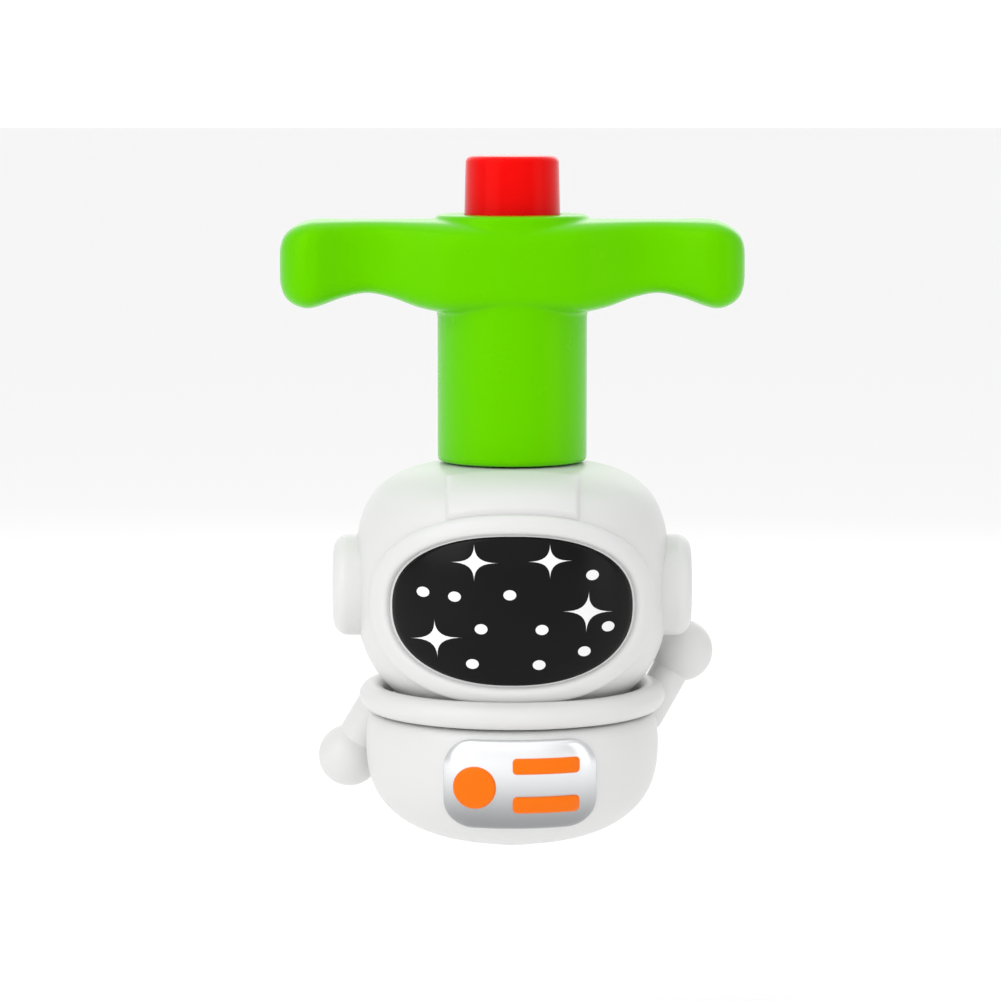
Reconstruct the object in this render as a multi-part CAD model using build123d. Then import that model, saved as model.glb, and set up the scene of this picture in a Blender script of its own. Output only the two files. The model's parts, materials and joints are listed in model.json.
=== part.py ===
from build123d import *
import math
import os

# A wind-up launcher with a T-shaped handle, and the astronaut spinning top that it throws.
# Millimetres. +Z is the spin axis and points up; the astronaut faces -Y. The origin is the
# point of the spin tip, where the top touches whatever it spins on.
# The launcher: a torsion spring in the stem drives a hollow spindle. A pawl holds the spindle's
# ratchet wheel. The red button lifts the pawl with a wedge and pushes the top off with a rod.

# ---- driving dimensions ----
GAP = 0.04  # between fixed pieces that lie against each other
WALL = 1.6  # moulded shells

# heights on the spin axis
FOOT_Z = 0.9
FOOT_TOP_Z = 2.3
CUP_FLOOR_Z = 4.8
FLYWHEEL_TOP_Z = 17.0
DECK_Z = 19.4
DECK_TOP_Z = 21.4
FLANGE_TOP_Z = 23.0
COLLAR_Z = 22.8
NECK_Z = 23.6
PODS_Z = 39.4
CROWN_Z = 57.95
STEM_Z = 58.2
PLATE_Z = 82.6
WHEEL_Z = 83.8
BRIDGE_Z = 86.4
ROOF_Z = 92.4
HANDLE_TOP_Z = 94.2
BOSS_TOP_Z = 95.0
BUTTON_TOP_Z = 103.7

# helmet and body, as superellipses turned about the spin axis: reach, half height, power
HELMET_CENTRE_Z = 39.0
HELMET_REACH = 23.5
HELMET_UP = (19.25, 3.5)
HELMET_DOWN = (20.2, 2.5)
BODY_CENTRE_Z = 16.0
BODY_REACH = 22.0
BODY_DOWN = (15.1, 2.6)
BODY_RIM_Z = 20.5

# visor, centred on the helmet's equator: half width, half height
VISOR_Z = 38.3
VISOR_POWER = 2.3
VISOR_HALF = (17.9, 11.2)
BEZEL_HALF = (20.6, 13.9)
BEZEL_RISE = 1.2
CREST_HALF = 9.8
CREST_RISE = 0.8

COLLAR_R = 21.0
COLLAR_TUBE = 2.0
POD_R = 7.6
POD_REACH = 26.8

# launcher
STEM_R = 11.15
BOSS_R = 11.3
STEM_BORE = 9.5
HANDLE_REACH = 34.4
HANDLE_WALL = 1.8
BUTTON_R = 7.2
BUTTON_TOP_R = 6.9
FLANGE_Z = 91.1
SPINDLE_R = 4.0
JOURNAL_R = 2.9
SPINDLE_BORE = 1.7
ROD_END_Z = 62.0
HEX_FLATS = 8.0
SOCKET_FLOOR_Z = 46.5

# ratchet and pawl
TEETH = 16
TIP_R = 7.2
ROOT_R = 6.2
PIVOT = (12.0, -1.0)
TAIL_PIN = (12.15, -5.4)
TAIL_PIN_R = 0.8
TAIL_TOP_Z = 88.0
WEDGE_SLOPE = 0.25
LUG_X = 14.4
LUG_Y = (-5.9, -4.6)
PAWL_Z = 83.9
PAWL_T = 1.8

# screws: shank radius, head radius, head thickness
SHANK_R, HEAD_R, HEAD_T = 0.8, 1.8, 1.2
PILOT_R, CLEAR_R, SINK_R = 0.86, 1.1, 2.0
HANDLE_SCREWS = [(28.2, 87.8), (17.4, 88.2)]
HELMET_SCREW = (16.6, 50.2)
DECK_SCREW = (8.6, 4.8)
BASE_SCREW_R = 9.8
BASE_SCREW_ANGLES = (0, 90, 180, 270)

# arms: shoulder, hand centre
LOWERED_ARM = ((-20.4, 7.6, 19.6), (-24.9, 9.0, 11.9))
RAISED_ARM = ((20.4, 8.0, 18.4), (26.0, 10.0, 28.0))
HAND_R = 4.7


# ---- helpers ----
def turned(*edges):
    """The closed outline of these edges in the XZ plane, turned about the spin axis."""
    return revolve(make_face(Wire(list(edges))), Axis.Z)


def ring(outer, inner, low, high):
    """A straight-sided ring about the spin axis."""
    solid = Pos(0, 0, (low + high) / 2) * Cylinder(outer, high - low)
    if inner:
        solid -= Pos(0, 0, (low + high) / 2) * Cylinder(inner, high - low + 1)
    return solid


def rod(radius, start, end):
    """A round bar from start to end."""
    start, end = Vector(*start), Vector(*end)
    plane = Plane(origin=start, z_dir=end - start)
    return extrude(plane * Circle(radius), (end - start).length)


def block(low, high):
    """A box from its lowest corner to its highest."""
    size = [b - a for a, b in zip(low, high)]
    middle = [(a + b) / 2 for a, b in zip(low, high)]
    return Pos(*middle) * Box(*size)


def front_of(solid, gap=0.0):
    return solid & block((-60, -60, -10), (60, -gap / 2, 120))


def back_of(solid, gap=0.0):
    return solid & block((-60, gap / 2, -10), (60, 60, 120))


def superellipse(reach, half, power, angle):
    """(radius, height) on a superellipse at this angle from its widest point."""
    c, s = math.cos(angle), math.sin(angle)
    return reach * c ** (2 / power), half * s ** (2 / power)


def oval(half_width, half_height, centre_z, depth=60.0):
    """A bar along -Y with a superellipse section, from the spin axis plane to the front."""
    points = []
    for step in range(40):
        angle = 2 * math.pi * step / 40
        c, s = math.cos(angle), math.sin(angle)
        x = math.copysign(half_width * abs(c) ** (2 / VISOR_POWER), c)
        z = math.copysign(half_height * abs(s) ** (2 / VISOR_POWER), s)
        points.append((x, 0, centre_z + z))
    return extrude(make_face(Wire([Spline(*points, periodic=True)])), depth, dir=(0, -1, 0))


# ---- shared outlines ----
def helmet(offset=0.0):
    """The helmet as a full solid, grown by offset."""
    up, up_power = HELMET_UP[0] + offset, HELMET_UP[1]
    down, down_power = HELMET_DOWN[0] + offset, HELMET_DOWN[1]
    points = []
    neck_angle = math.asin(((HELMET_CENTRE_Z - NECK_Z) / down) ** (down_power / 2))
    for step in range(6):
        r, dz = superellipse(HELMET_REACH + offset, down, down_power, neck_angle * (1 - step / 6))
        points.append((r, 0, HELMET_CENTRE_Z - dz))
    crown_angle = math.radians(78)
    for step in range(11):
        r, dz = superellipse(HELMET_REACH + offset, up, up_power, crown_angle * step / 10)
        points.append((r, 0, HELMET_CENTRE_Z + dz))
    first, last = points[0], points[-1]
    rest = Polyline(last, (0, 0, last[2]), (0, 0, first[2]), first)
    return turned(Spline(*points), *rest.edges())


def body(offset=0.0):
    """The body below the collar as a full solid, grown by offset."""
    down, power = BODY_DOWN[0] + offset, BODY_DOWN[1]
    reach = BODY_REACH + offset
    points = []
    for step in range(12):
        r, dz = superellipse(reach, down, power, math.radians(80) * (1 - step / 11))
        points.append((r, 0, BODY_CENTRE_Z - dz))
    low = points[0]
    shoulder = (reach - 0.25, 0, BODY_RIM_Z - 1.6)
    rim = (reach - 1.5, 0, BODY_RIM_Z)
    side = Spline(*points, shoulder)
    turn_in = Spline(shoulder, rim, tangents=[side % 1, Vector(-1, 0, 0.15)])
    rest = Polyline(rim, (0, 0, BODY_RIM_Z), (0, 0, low[2]), low)
    return turned(side, turn_in, *rest.edges())


# the handle every few millimetres out from the axis: reach, half depth, top, underside
HANDLE_STATIONS = [
    (0, 12.2, 94.2, 80.55), (5, 11.8, 94.2, 80.55), (10, 10.6, 94.2, 80.6), (14, 8.7, 94.2, 81.35),
    (18, 7.0, 94.2, 82.75), (21.6, 6.5, 94.2, 83.4), (25.2, 7.4, 94.2, 82.7), (28.6, 9.0, 94.2, 81.5),
    (30.5, 9.0, 94.0, 81.15), (32.5, 8.0, 93.15, 81.8), (33.8, 6.4, 91.95, 83.0), (34.4, 4.6, 90.5, 84.6),
]
HANDLE_POWER = 5.0


def handle_section(reach, depth, top, low):
    """The handle's cross-section: a rectangle with soft corners."""
    points = []
    for step in range(32):
        angle = 2 * math.pi * step / 32
        c, s = math.cos(angle), math.sin(angle)
        y = math.copysign(depth * abs(c) ** (2 / HANDLE_POWER), c)
        z = math.copysign((top - low) / 2 * abs(s) ** (2 / HANDLE_POWER), s)
        points.append((reach, y, (top + low) / 2 + z))
    return Wire([Spline(*points, periodic=True)])


def handle_wings(inset=0.0):
    """Both arms and the hub of the handle in one flowing solid, drawn in by inset."""
    right = []
    for reach, depth, top, low in HANDLE_STATIONS:
        x = reach * (1 - inset / HANDLE_REACH * (reach / HANDLE_REACH) ** 2)
        right.append((x, depth - inset, top - inset, low + inset))
    stations = [(-x, d, t, l) for x, d, t, l in reversed(right[1:])] + right
    return Solid.make_loft([handle_section(*s) for s in stations])


def screw(seat, direction, length):
    """A cross-head screw: seat is under the head, direction is where the shank goes."""
    seat, direction = Vector(*seat), Vector(*direction)
    plane = Plane(origin=seat, z_dir=direction)
    shank = extrude(plane * Circle(SHANK_R), length)
    head = extrude(plane * Circle(HEAD_R), -HEAD_T)
    top = plane * Pos(0, 0, -HEAD_T)
    cross = top * Box(2.0, 0.45, 1.2) + top * Box(0.45, 2.0, 1.2)
    return shank + head - cross


def helmet_bolt_seat(side):
    return (side * HELMET_SCREW[0], 9.6, HELMET_SCREW[1])


# ---- launcher ----
def handle_solid():
    stem = ring(STEM_R, 0, STEM_Z, PLATE_Z)
    stem = fillet(stem.edges().group_by(Axis.Z)[0], 0.5)
    boss = ring(BOSS_R, 0, HANDLE_TOP_Z - 3, BOSS_TOP_Z)
    boss = fillet(boss.edges().group_by(Axis.Z)[-1], 0.4)
    return handle_wings() + stem + boss


def handle_cavity():
    room = handle_wings(HANDLE_WALL) - block((-60, -60, 0), (60, 60, PLATE_Z))
    plate_room = ring(10.4, 0, PLATE_Z, PLATE_Z + 2) + extrude(
        Pos(0, 0, PLATE_Z) * plate_arm(0.1), 2)
    bore = ring(STEM_BORE, 0, STEM_Z - 1, PLATE_Z + 0.5)
    grooves = ring(10.02, 0, 58.86, 59.94) + ring(10.02, 0, 62.46, 63.34)
    mouth = ring(BUTTON_R + 0.12, 0, ROOF_Z - 1, BOSS_TOP_Z + 1) + ring(8.6, 0, 87.9, ROOF_Z)
    channel = block((3, LUG_Y[0] - 0.2, 87.9), (LUG_X + 0.2, LUG_Y[1] + 0.2, ROOF_Z))
    well = block((12.4, LUG_Y[0] - 0.2, 83.8), (LUG_X + 0.2, LUG_Y[1] + 0.2, 88))
    return room + plate_room + bore + grooves + mouth + channel + well


def plate_arm(grow=0.0):
    """The ear of the mechanism plates, out to the pawl's pin."""
    x, y = PIVOT
    ear = Pos(x, y) * Circle(2.0 + grow)
    neck = Pos(x / 2, y - 0.2) * Rectangle(x, 4.0 + 2 * grow)
    return ear + neck


def handle_shells():
    outer, cavity = handle_solid(), handle_cavity()
    shell = outer - cavity
    front, back = front_of(shell, GAP), back_of(shell, GAP)
    inside = outer & handle_wings(0.6)
    for side in (-1, 1):
        for (x, z), seat_y in zip(HANDLE_SCREWS, (5.8, 3.6)):
            x = side * x
            boss = rod(2.3, (x, -14, z), (x, -GAP / 2, z)) & inside
            front += boss
            front -= rod(PILOT_R, (x, -4.6, z), (x, 1, z))
            boss = rod(2.8, (x, GAP / 2, z), (x, 14, z)) & inside
            back += boss
            back -= rod(CLEAR_R, (x, -1, z), (x, seat_y + 1, z))
            back -= rod(SINK_R, (x, seat_y, z), (x, 16, z))
    return front, back


def handle_screws():
    return [screw((side * x, seat_y + 0.02, z), (0, -1, 0), seat_y + 3.6)
            for side in (-1, 1) for (x, z), seat_y in zip(HANDLE_SCREWS, (5.8, 3.6))]


def nose_cap():
    return ring(9.46, SPINDLE_R + 0.05, STEM_Z + 0.1, 60.4) + ring(9.98, SPINDLE_R + 0.05, 58.9, 59.9)


def spring_barrel():
    wall = ring(9.46, 8.6, 62.5, 71.0) + ring(9.46, SPINDLE_R + 0.3, 62.5, 63.3)
    return wall + ring(9.98, 9.0, 62.5, 63.3)


def barrel_cover():
    return ring(9.46, SPINDLE_R + 0.3, 71.0 + GAP, 72.0)


def mainspring():
    """A flat strip wound between the spindle and the barrel's wall."""
    turns, start, end, thick = 5.0, 4.5, 8.2, 0.3
    points = []
    for step in range(int(turns * 10) + 1):
        angle = 2 * math.pi * step / 10
        r = start + (end - start) * step / (turns * 10)
        points.append((r * math.cos(angle), r * math.sin(angle)))
    inner = Spline(*[(x, y, 64.0) for x, y in points])
    outer = []
    for x, y in points:
        r = math.hypot(x, y)
        outer.append((x * (r + thick) / r, y * (r + thick) / r, 64.0))
    outer = Spline(*outer)
    ends = [Line(inner @ 0, outer @ 0), Line(inner @ 1, outer @ 1)]
    face = make_face(Wire([inner, ends[1], outer, ends[0]]))
    return extrude(face, 6.2)


def mechanism_plate():
    plate = ring(10.3, 0, PLATE_Z + GAP, PLATE_Z + 1) + extrude(
        Pos(0, 0, PLATE_Z + GAP) * plate_arm(), 1 - GAP)
    return plate - ring(SPINDLE_R + 0.05, 0, 80, 86) - pin_hole()


def pin_hole():
    return Pos(*PIVOT, 85) * Cylinder(0.94, 10)


def bridge_plate():
    plate = ring(9.6, 0, BRIDGE_Z, BRIDGE_Z + 1) + extrude(Pos(0, 0, BRIDGE_Z) * plate_arm(), 1)
    for side in (-1, 1):
        post = Pos(-6.5, side * 6.5, (PLATE_Z + 1 + GAP + BRIDGE_Z + 1) / 2) * Cylinder(
            1.2, BRIDGE_Z - PLATE_Z - GAP)
        plate += post
    return plate - ring(JOURNAL_R + 0.05, 0, 80, 90) - pin_hole()


def pawl_pin():
    return Pos(*PIVOT, (PLATE_Z + 0.1 + BRIDGE_Z + 1.3) / 2) * Cylinder(0.9, BRIDGE_Z - PLATE_Z + 1.2)


def polar(r, degrees):
    return (r * math.cos(math.radians(degrees)), r * math.sin(math.radians(degrees)))


FACE_ANGLE = 52.0  # where the pawl meets the steep face of a tooth


def pawl():
    x, y = PIVOT
    tip = [polar(6.35, FACE_ANGLE - 0.8), polar(7.5, FACE_ANGLE - 21),
           (x - 0.9, y - 0.9), (x + 0.9, y + 1.4), polar(7.9, FACE_ANGLE - 0.8)]
    arm = make_face(Polyline(*[(a, b, 0) for a, b in tip], close=True))
    hub = Pos(x, y) * Circle(1.9)
    tail = make_face(Polyline((x - 0.8, y, 0), (x + 0.8, y, 0), (TAIL_PIN[0] + 0.6, TAIL_PIN[1], 0),
                              (TAIL_PIN[0] - 0.7, TAIL_PIN[1], 0), close=True))
    flat = extrude(Pos(0, 0, PAWL_Z) * (arm + hub + tail), PAWL_T)
    nose = Pos(*TAIL_PIN, (PAWL_Z + TAIL_TOP_Z) / 2) * Cylinder(TAIL_PIN_R, TAIL_TOP_Z - PAWL_Z)
    return flat + nose - Pos(x, y, 85) * Cylinder(0.97, 10)


def pawl_spring():
    """A coil round the pawl's pin, with a leg that lies along the pawl's arm."""
    x, y = PIVOT
    wound = Pos(x, y, 86.05) * (Cylinder(1.6, 0.5) - Cylinder(1.05, 1))
    leg = Pos(x, y, 86.18) * Rot(0, 0, 140) * Pos(3.6, 1.35, 0) * Box(7.2, 0.4, 0.24)
    return wound + leg


def ratchet_wheel():
    points = []
    for tooth in range(TEETH):
        start = FACE_ANGLE + 360 / TEETH * tooth
        points += [polar(ROOT_R, start), polar(TIP_R, start)]
    face = make_face(Polyline(*[(a, b, 0) for a, b in points], close=True))
    wheel = extrude(Pos(0, 0, WHEEL_Z) * face, 2.2)
    return wheel - ring(SPINDLE_R + GAP, 0, 80, 90)


def spindle():
    low, top = SOCKET_FLOOR_Z + 0.7, BRIDGE_Z + 2.4
    shaft = ring(SPINDLE_R, 0, low + 4, WHEEL_Z + 2.2) + ring(JOURNAL_R, 0, WHEEL_Z, top)
    drive = extrude(Pos(0, 0, low) * hexagon(HEX_FLATS), STEM_Z + 0.02 - low)
    drive = chamfer(drive.edges().group_by(Axis.Z)[0], 0.5)
    groove = ring(SPINDLE_R + 1, 2.5, BRIDGE_Z + 1.5, BRIDGE_Z + 2.0)
    return shaft + drive - groove - ring(SPINDLE_BORE, 0, low - 1, top + 1)


def hexagon(flats):
    return RegularPolygon(flats / 2, 6, major_radius=False)


def spindle_clip():
    clip = ring(3.8, 2.54, BRIDGE_Z + 1.54, BRIDGE_Z + 1.96)
    return clip - block((0, -1.2, 80), (9, 1.2, 95))


def thrust_washer():
    return ring(4.0, JOURNAL_R + 0.05, BRIDGE_Z + 1.04, BRIDGE_Z + 1.46)


def button():
    cap = Pos(0, 0, (FLANGE_Z + BUTTON_TOP_Z) / 2) * Cone(BUTTON_R, BUTTON_TOP_R, BUTTON_TOP_Z - FLANGE_Z)
    cap = fillet(cap.edges().group_by(Axis.Z)[-1], 1.0)
    flange = ring(8.4, 0, FLANGE_Z, ROOF_Z - GAP)
    lug = block((4, LUG_Y[0], FLANGE_Z), (LUG_X, LUG_Y[1], ROOF_Z - GAP))
    wedge_x = TAIL_PIN[0] + TAIL_PIN_R + 0.05
    foot_z = TAIL_TOP_Z - 1.0
    leg = [(wedge_x - WEDGE_SLOPE * (z - TAIL_TOP_Z), 0, z) for z in (foot_z, FLANGE_Z + 0.2)]
    leg += [(LUG_X, 0, FLANGE_Z + 0.2), (LUG_X, 0, foot_z)]
    leg = extrude(make_face(Polyline(*leg, close=True)), LUG_Y[1] - LUG_Y[0], dir=(0, 1, 0))
    room = ring(5.6, 0, FLANGE_Z - 1, BUTTON_TOP_Z - 2.0)
    seat = ring(2.4, 0, BUTTON_TOP_Z - 6.5, BUTTON_TOP_Z - 1.5)
    hole = ring(1.22, 0, FLANGE_Z - 5, BUTTON_TOP_Z - 2.5)
    return cap + flange + lug + Pos(0, LUG_Y[0], 0) * leg - room + seat - hole


def release_rod():
    return ring(1.2, 0, ROD_END_Z + 0.05, BUTTON_TOP_Z - 2.6)


def coil(radius, wire, low, high, turns):
    """A compression spring about the spin axis with its wire between low and high."""
    rise = high - low - 2 * wire
    path = Pos(0, 0, low + wire) * Helix(rise / turns, rise, radius)
    start = path @ 0
    section = Plane(origin=start, z_dir=path % 0) * Circle(wire)
    return sweep(section, path)


def button_spring():
    return coil(4.8, 0.35, BRIDGE_Z + 1.05, BUTTON_TOP_Z - 2.1, 7)


def ejector_plunger():
    stem = ring(1.62, 0, SOCKET_FLOOR_Z + 0.3, ROD_END_Z)
    return stem + ring(2.8, 0, SOCKET_FLOOR_Z + GAP, SOCKET_FLOOR_Z + 0.6)


# ---- top ----
def socket_tube():
    """The column that takes the launcher's drive head, from the deck up to the crown."""
    column = ring(6.3, 0, DECK_TOP_Z + GAP, CROWN_Z - 0.05) + ring(12.4, 0, DECK_TOP_Z + GAP, FLANGE_TOP_Z)
    column -= ring(4.6, 0, DECK_TOP_Z - 1, 44.5)
    column -= extrude(Pos(0, 0, SOCKET_FLOOR_Z) * hexagon(HEX_FLATS + 0.14), 20)
    column -= ring(5.5, 0, 55.2, 70)
    for x, y in four(DECK_SCREW):
        column -= Pos(x, y, 22) * Cylinder(CLEAR_R, 6)
    return column


def four(corner):
    return [(sx * corner[0], sy * corner[1]) for sx in (-1, 1) for sy in (-1, 1)]


def grip_ring():
    return ring(5.46, 4.72, 55.25, 56.9)


def crest():
    """The broad raised band over the crown, from the bezel to low on the back."""
    band = block((-CREST_HALF, -60, 45.0), (CREST_HALF, 0, 60)) + block(
        (-CREST_HALF, 0, 33.0), (CREST_HALF, 60, 60))
    band = band & helmet(CREST_RISE)
    return band - oval(BEZEL_HALF[0] + 0.3, BEZEL_HALF[1] + 0.3, VISOR_Z)


def helmet_shells():
    neck = ring(17.6, 0, DECK_TOP_Z + GAP, NECK_Z + 0.6)
    solid = helmet() + neck + crest()
    solid -= ring(11.9, 0, CROWN_Z, 70)
    inner = helmet(-WALL) + ring(16.0, 0, DECK_TOP_Z - 1, NECK_Z + 3)
    inner -= ring(60, 0, CROWN_Z - WALL - 0.4, 70)
    shell = solid - inner - ring(6.35, 0, 50, 70)
    front, back = front_of(shell, GAP), back_of(shell, GAP)
    core = helmet(-0.5)
    window = oval(VISOR_HALF[0] + GAP, VISOR_HALF[1] + GAP, VISOR_Z)
    front -= window
    for side in (-1, 1):
        x, y, z = helmet_bolt_seat(side)
        front += (rod(2.3, (x, -16, z), (x, -GAP / 2, z)) & core)
        front -= rod(PILOT_R, (x, -5.5, z), (x, 1, z))
        back += (rod(2.9, (x, GAP / 2, z), (x, 30, z)) & core)
        back -= rod(CLEAR_R, (x, -1, z), (x, y + 1, z))
        back -= rod(SINK_R, (x, y, z), (x, 30, z))
        pin = pod_pin(side, 0.04)
        front -= pin
        back -= pin
    return front, back


def helmet_screws():
    screws = []
    for side in (-1, 1):
        x, y, z = helmet_bolt_seat(side)
        screws.append(screw((x, y + 0.02, z), (0, -1, 0), y + 4.5))
    return screws


def visor():
    pane = oval(*VISOR_HALF, VISOR_Z) & helmet(0.3)
    return pane - helmet(-1.3)


def visor_bezel():
    hoop = oval(*BEZEL_HALF, VISOR_Z) - oval(VISOR_HALF[0] + 0.05, VISOR_HALF[1] + 0.05, VISOR_Z)
    return (hoop & helmet(BEZEL_RISE)) - helmet(GAP) - collar_tube(0.06)


def pod_pin(side, grow=0.0):
    return rod(2.0 + grow, (side * 20.5, 0, PODS_Z), (side * 25, 0, PODS_Z))


def ear_pod(side):
    puck = rod(POD_R, (side * 18, 0, PODS_Z), (side * POD_REACH, 0, PODS_Z))
    rim = puck.edges().sort_by(Axis.X)[-1 if side > 0 else 0]
    puck = fillet(rim, 2.3) - helmet(GAP)
    return puck + pod_pin(side)


def collar_tube(grow=0.0):
    return Pos(0, 0, COLLAR_Z) * Torus(COLLAR_R, COLLAR_TUBE + grow)


def collar_ring():
    tube = collar_tube()
    web = ring(20.4, 17.66, DECK_TOP_Z + GAP, COLLAR_Z + 0.1)
    return tube + web - ring(20.0, 0, 18, DECK_TOP_Z + GAP)


def deck_plate():
    plate = ring(18.3, 0, DECK_Z, DECK_TOP_Z) + ring(19.9, 0, BODY_RIM_Z + GAP, DECK_TOP_Z)
    plate += ring(14.8, 12.9, FLYWHEEL_TOP_Z + GAP, DECK_Z)
    plate -= ring(4.6, 0, 10, 30)
    for x, y in four(DECK_SCREW):
        plate -= Pos(x, y, 20) * Cylinder(CLEAR_R, 10)
    return plate


def deck_screws():
    return [screw((x, y, FLANGE_TOP_Z + 0.02), (0, 0, -1), 11.0) for x, y in four(DECK_SCREW)]


def base_points():
    return [polar(BASE_SCREW_R, a) for a in BASE_SCREW_ANGLES]


def body_cup():
    cup = body() - (body(-1.8) - block((-60, -60, -5), (60, 60, CUP_FLOOR_Z)))
    cup -= ring(18.4, 0, 17, 30)
    cup -= ring(6.84, 0, -1, FOOT_TOP_Z + GAP) + ring(2.04, 0, -1, 10)
    for x, y in base_points():
        cup -= Pos(x, y, 4) * Cylinder(CLEAR_R, 8)
        cup -= Pos(x, y, 3.5 - 2) * Cylinder(SINK_R, 4)
    return cup - arm_peg(LOWERED_ARM[0], 0.04) - arm_peg(RAISED_ARM[0], 0.04)


def base_screws():
    return [screw((x, y, 3.48), (0, 0, 1), 8.0) for x, y in base_points()]


def hub_core():
    core = ring(12.6, 0, CUP_FLOOR_Z + GAP, 6.4) + ring(12.6, 11.4, 6.0, DECK_Z - GAP)
    core += ring(14.8, 11.4, 7.6, 8.96) + ring(4.4, 0, 6.0, 12.0)
    for x, y in four(DECK_SCREW):
        core += Pos(x, y, 12.2) * Cylinder(1.9, 14.32)
    for x, y in base_points():
        core += Pos(x, y, 9.4) * Cylinder(1.9, 8.8)
        core -= Pos(x, y, 8) * Cylinder(PILOT_R, 8)
    for x, y in four(DECK_SCREW):
        core -= Pos(x, y, 15.6) * Cylinder(PILOT_R, 8.2)
    return (core & body(-1.9)) - ring(2.04, 0, 0, 7.6)


def flywheel_ring():
    wheel = ring(17.7, 12.7, 9.0, FLYWHEEL_TOP_Z) & body(-1.95)
    return wheel


def base_cap():
    disc = ring(6.8, 2.04, FOOT_Z, FOOT_TOP_Z)
    return fillet(disc.edges().group_by(Axis.Z)[0].sort_by(SortBy.LENGTH)[-1], 0.5)


def spin_tip():
    return Pos(0, 0, 2.0) * Sphere(2.0) + ring(2.0, 0, 2.0, 7.5)


def arm_peg(shoulder, grow=0.0):
    """The peg that holds an arm in the wall of the cup."""
    x, y, _ = shoulder
    return rod(1.4 + grow, (x * 0.9, y * 0.9, 16.9), (x * 1.06, y * 1.06, 16.9))


def arm(joints, radius):
    """One arm: a sleeve from the shoulder to a round hand, laid against the body."""
    shoulder, hand = joints
    limb = rod(radius, shoulder, hand) + Pos(*hand) * Sphere(HAND_R) + Pos(*shoulder) * Sphere(radius)
    limb -= body(0.05)
    limb -= helmet(0.1)
    limb -= ring(21.0, 0, 18, DECK_TOP_Z + 0.2)
    limb -= collar_tube(0.1)
    sleeve = max(limb.solids(), key=lambda piece: piece.volume)
    return sleeve + arm_peg(shoulder)


def chest_prism(width, height, corner, x, z):
    """A rounded bar along -Y through the chest, centred at (x, z)."""
    face = Plane.XZ.offset(12) * Pos(x, z, 0) * RectangleRounded(width, height, corner)
    return extrude(face, 20)


def chest_panel():
    return (chest_prism(22.2, 13.4, 4.2, 1.1, 12.7) & body(0.95)) - body(0.04)


def chest_dial():
    disc = rod(3.0, (-5.3, -12, 12.6), (-5.3, -40, 12.6))
    return (disc & body(1.5)) - body(0.99)


def chest_bars():
    return [(chest_prism(9.4, 2.3, 0.6, 4.7, z) & body(1.5)) - body(0.99) for z in (15.7, 10.2)]


# ---- write every piece ----
os.makedirs("parts", exist_ok=True)


def write(name, shape):
    export_step(shape, f"parts/{name}.step")


if __name__ == "__main__":
    front, back = handle_shells()
    write("handle_front_shell", front)
    write("handle_back_shell", back)
    for number, piece in enumerate(handle_screws(), 1):
        write(f"handle_screw_{number}", piece)
    front, back = helmet_shells()
    write("helmet_front_shell", front)
    write("helmet_back_shell", back)
    for number, piece in enumerate(helmet_screws(), 1):
        write(f"helmet_screw_{number}", piece)
    for number, piece in enumerate(deck_screws(), 1):
        write(f"deck_screw_{number}", piece)
    for number, piece in enumerate(base_screws(), 1):
        write(f"base_screw_{number}", piece)
    for number, piece in enumerate(chest_bars(), 1):
        write(f"chest_bar_{number}", piece)
    for make in (nose_cap, spring_barrel, barrel_cover, mainspring, mechanism_plate, bridge_plate,
                 pawl_pin, pawl, pawl_spring, ratchet_wheel, spindle, spindle_clip, thrust_washer,
                 button, release_rod, button_spring, ejector_plunger, visor, visor_bezel,
                 grip_ring, collar_ring, deck_plate, body_cup, hub_core, flywheel_ring, base_cap,
                 spin_tip, chest_panel, chest_dial):
        write(make.__name__, make())
    write("drive_socket", socket_tube())
    write("left_ear_pod", ear_pod(-1))
    write("right_ear_pod", ear_pod(1))
    write("lowered_arm", arm(LOWERED_ARM, 3.4))
    write("raised_arm", arm(RAISED_ARM, 2.8))
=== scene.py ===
"""The looks of an astronaut spinning top under its T-handled wind-up launcher.

Lengths here are in millimetres and become metres when a mesh is made. +Z is the spin axis,
the origin is the spin tip, and the astronaut faces -Y.
"""
import json
import math

import bmesh
import bpy
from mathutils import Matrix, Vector


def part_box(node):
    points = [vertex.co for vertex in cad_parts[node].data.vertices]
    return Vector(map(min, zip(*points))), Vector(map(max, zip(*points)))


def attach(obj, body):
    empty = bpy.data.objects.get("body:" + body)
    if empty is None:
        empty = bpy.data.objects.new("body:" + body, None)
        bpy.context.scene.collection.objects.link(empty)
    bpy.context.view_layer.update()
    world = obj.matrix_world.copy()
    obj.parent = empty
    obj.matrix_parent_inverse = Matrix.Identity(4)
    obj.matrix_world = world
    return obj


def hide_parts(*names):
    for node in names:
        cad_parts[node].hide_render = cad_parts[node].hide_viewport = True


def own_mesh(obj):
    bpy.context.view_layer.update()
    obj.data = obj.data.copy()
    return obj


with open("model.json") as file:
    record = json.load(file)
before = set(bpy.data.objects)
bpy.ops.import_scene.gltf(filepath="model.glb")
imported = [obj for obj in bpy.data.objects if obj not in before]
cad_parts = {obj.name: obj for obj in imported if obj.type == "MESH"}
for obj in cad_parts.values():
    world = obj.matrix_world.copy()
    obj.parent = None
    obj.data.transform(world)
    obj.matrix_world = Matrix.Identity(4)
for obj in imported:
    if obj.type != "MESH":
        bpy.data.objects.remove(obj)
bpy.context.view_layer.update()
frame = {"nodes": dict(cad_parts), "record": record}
nodes = frame["nodes"]
MM = 0.001
travel = {j["name"]: j["range_m"][1] for j in frame["record"]["behaviour"]["joints"] if "range_m" in j}

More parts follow.
